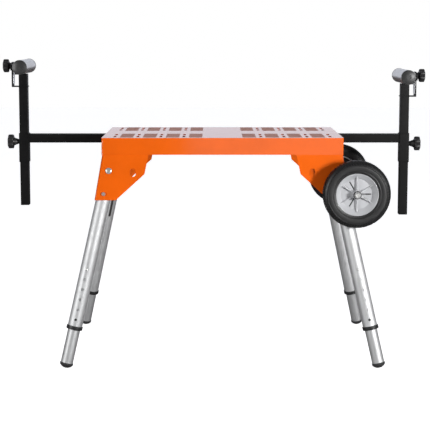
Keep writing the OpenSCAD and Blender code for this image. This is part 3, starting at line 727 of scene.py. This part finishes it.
def shade_liner_mesh(bm, at):
    """Black sheet on the inward side of the web and barrel: painted shade that darkens the wheel's inside and
    what is seen through the slots.
    """
    hub_gap = HUB_R + 0.3 * MM
    loop = [(hub_gap, -3.4 * MM), (56.8 * MM, -3.4 * MM), (58.4 * MM, -5.4 * MM), (72.8 * MM, -20.0 * MM),
            (72.0 * MM, -20.6 * MM), (57.6 * MM, -6.2 * MM), (56.2 * MM, -4.6 * MM), (hub_gap, -4.6 * MM)]
    closed_lathe(bm, loop, at, 96)


def bush_mesh(bm, at):
    """Black plastic bearing collars in the hub's two faces, the outer one under the axle's end cap."""
    bore, r, low = 8.3 * MM, 15 * MM, 25 * MM
    for end, edge in ((28.3 * MM, 0.7 * MM), (-28 * MM, -0.6 * MM)):
        base = math.copysign(low, end)
        closed_lathe(bm, [(bore, base), (r, base), (r, end - edge), (r - 0.8 * MM, end), (bore, end)], at, 72)


for e in ENDS:
    out = (0, -1, 0) if e == "front" else (0, 1, 0)
    at = basis(joints[f"wheel_spin_{e}"]["pos_m"], out, (1, 0, 0))
    wheel = f"wheel_{e}"
    piece(f"tyre_tread_{e}", lambda bm: tyre_mesh(bm, at), wheel, M["tyre"],
          (f"tyre_{e}",), 38)
    piece(f"wheel_rim_{e}", lambda bm: rim_mesh(bm, at), wheel, M["rim"], (f"rim_{e}",), 34)
    # Painted shade: a black sheet lines the inward side of each wheel.
    piece(f"wheel_shade_liner_{e}", lambda bm: shade_liner_mesh(bm, at), wheel, M["collar"], (), 40)
    piece(f"wheel_bush_{e}", lambda bm: bush_mesh(bm, at), wheel, M["collar"], (), 40)


# ---- Weld beads on the sleeves -----------------------------------------------------

BAR_HALF = 17 * MM
BAR_Z = 827.7 * MM
SLEEVE_HALF = 19 * MM
BEAD_R = 1.9 * MM
PUDDLES = 14


def bead(bm, start, end):
    """A run of overlapping weld puddles between two points."""
    start, end = Vector(start), Vector(end)
    for i in range(PUDDLES):
        p = start.lerp(end, (i + 0.5) / PUDDLES)
        size = BEAD_R * rng.uniform(0.88, 1.12)
        bmesh.ops.create_icosphere(bm, subdivisions=2, radius=size, matrix=Matrix.Translation(p))


def weld_beads(bm, face):
    """Beads on the four sides of the bar where it meets the sleeve."""
    z0, z1 = BAR_Z - BAR_HALF, BAR_Z + BAR_HALF
    for y in (-BAR_HALF, BAR_HALF):
        bead(bm, (face, y, z0), (face, y, z1))
    for z in (z0, z1):
        bead(bm, (face, -BAR_HALF, z), (face, BAR_HALF, z))


for s in SIDES:
    sign = 1 if s == "right" else -1
    lo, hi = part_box(f"post_{s}")
    face = (lo.x + hi.x) / 2 - sign * SLEEVE_HALF
    piece(f"weld_beads_{s}", lambda bm: weld_beads(bm, face), f"bar_{s}", M["black"], (), 60)


# ---- Studio -------------------------------------------------------------------------

def area(name, at, look_at, size, power):
    """A rectangular soft light at a point, turned towards another."""
    light = bpy.data.lights.new(name, "AREA")
    light.shape = "RECTANGLE"
    light.size, light.size_y = size
    light.energy = power
    ob = bpy.data.objects.new(name, light)
    bpy.context.scene.collection.objects.link(ob)
    ob.location = at
    ob.rotation_mode = "QUATERNION"
    ob.rotation_quaternion = (Vector(look_at) - Vector(at)).to_track_quat("-Z", "Y")


area("key_softbox", (2.6, -3.0, 1.25), (0.1, 0, 0.75), (0.5, 0.7), 140)
area("fill_softbox", (-3.2, -2.6, 1.3), (0, 0, 0.7), (1.2, 2.0), 86)
area("top_softbox", (0, 0.3, 3.4), (0, 0, 0.6), (3.2, 2.2), 8)
area("sheen_card", (0.5, -4.6, 0.38), (0.25, 0, 0.8), (1.4, 0.8), 3.5)


def studio_world():
    """White to the camera. The object is lit by a pale backdrop behind it and a dim room elsewhere."""
    world = bpy.data.worlds.new("studio")
    world.use_nodes = True
    tree = world.node_tree
    tree.nodes.clear()
    output = tree.nodes.new("ShaderNodeOutputWorld")
    seen = tree.nodes.new("ShaderNodeBackground")
    lit = tree.nodes.new("ShaderNodeBackground")
    choice = tree.nodes.new("ShaderNodeMixShader")
    path = tree.nodes.new("ShaderNodeLightPath")
    coords = tree.nodes.new("ShaderNodeTexCoord")
    split = tree.nodes.new("ShaderNodeSeparateXYZ")
    fade = tree.nodes.new("ShaderNodeMapRange")
    seen.inputs["Strength"].default_value = 1.0
    seen.inputs["Color"].default_value = (1, 1, 1, 1)
    lit.inputs["Color"].default_value = (0.94, 0.97, 1.06, 1)
    for key, value in (("From Min", 0.5), ("From Max", 0.93), ("To Min", 0.06), ("To Max", 0.95)):
        fade.inputs[key].default_value = value
    tree.links.new(coords.outputs["Generated"], split.inputs[0])
    tree.links.new(split.outputs["Y"], fade.inputs["Value"])
    tree.links.new(fade.outputs["Result"], lit.inputs["Strength"])
    tree.links.new(path.outputs["Is Camera Ray"], choice.inputs["Fac"])
    tree.links.new(lit.outputs[0], choice.inputs[1])
    tree.links.new(seen.outputs[0], choice.inputs[2])
    tree.links.new(choice.outputs[0], output.inputs["Surface"])
    return world


def studio_floor(reach):
    """A square floor, which reaches equally far on every side."""
    mesh = bpy.data.meshes.new("studio_floor")
    corners = [(-reach, -reach, 0), (reach, -reach, 0), (reach, reach, 0), (-reach, reach, 0)]
    mesh.from_pydata(corners, [], [(0, 1, 2, 3)])
    mesh.materials.append(floor_material())
    ob = bpy.data.objects.new("studio_floor", mesh)
    bpy.context.scene.collection.objects.link(ob)
    return ob


scene = bpy.context.scene
scene.world = studio_world()
studio_floor(14.0)
scene.view_settings.view_transform = "Standard"
scene.view_settings.look = "None"

lens = bpy.data.cameras.new("camera")
lens.lens = 95.7
lens.sensor_width = 36.0
lens.shift_x = 0.0057
lens.shift_y = -0.150
lens.clip_end = 60.0
camera = bpy.data.objects.new("camera", lens)
scene.collection.objects.link(camera)
camera.location = (-0.006, -4.462, 1.247)
camera.rotation_euler = (math.radians(84.0), 0, 0)
scene.camera = camera
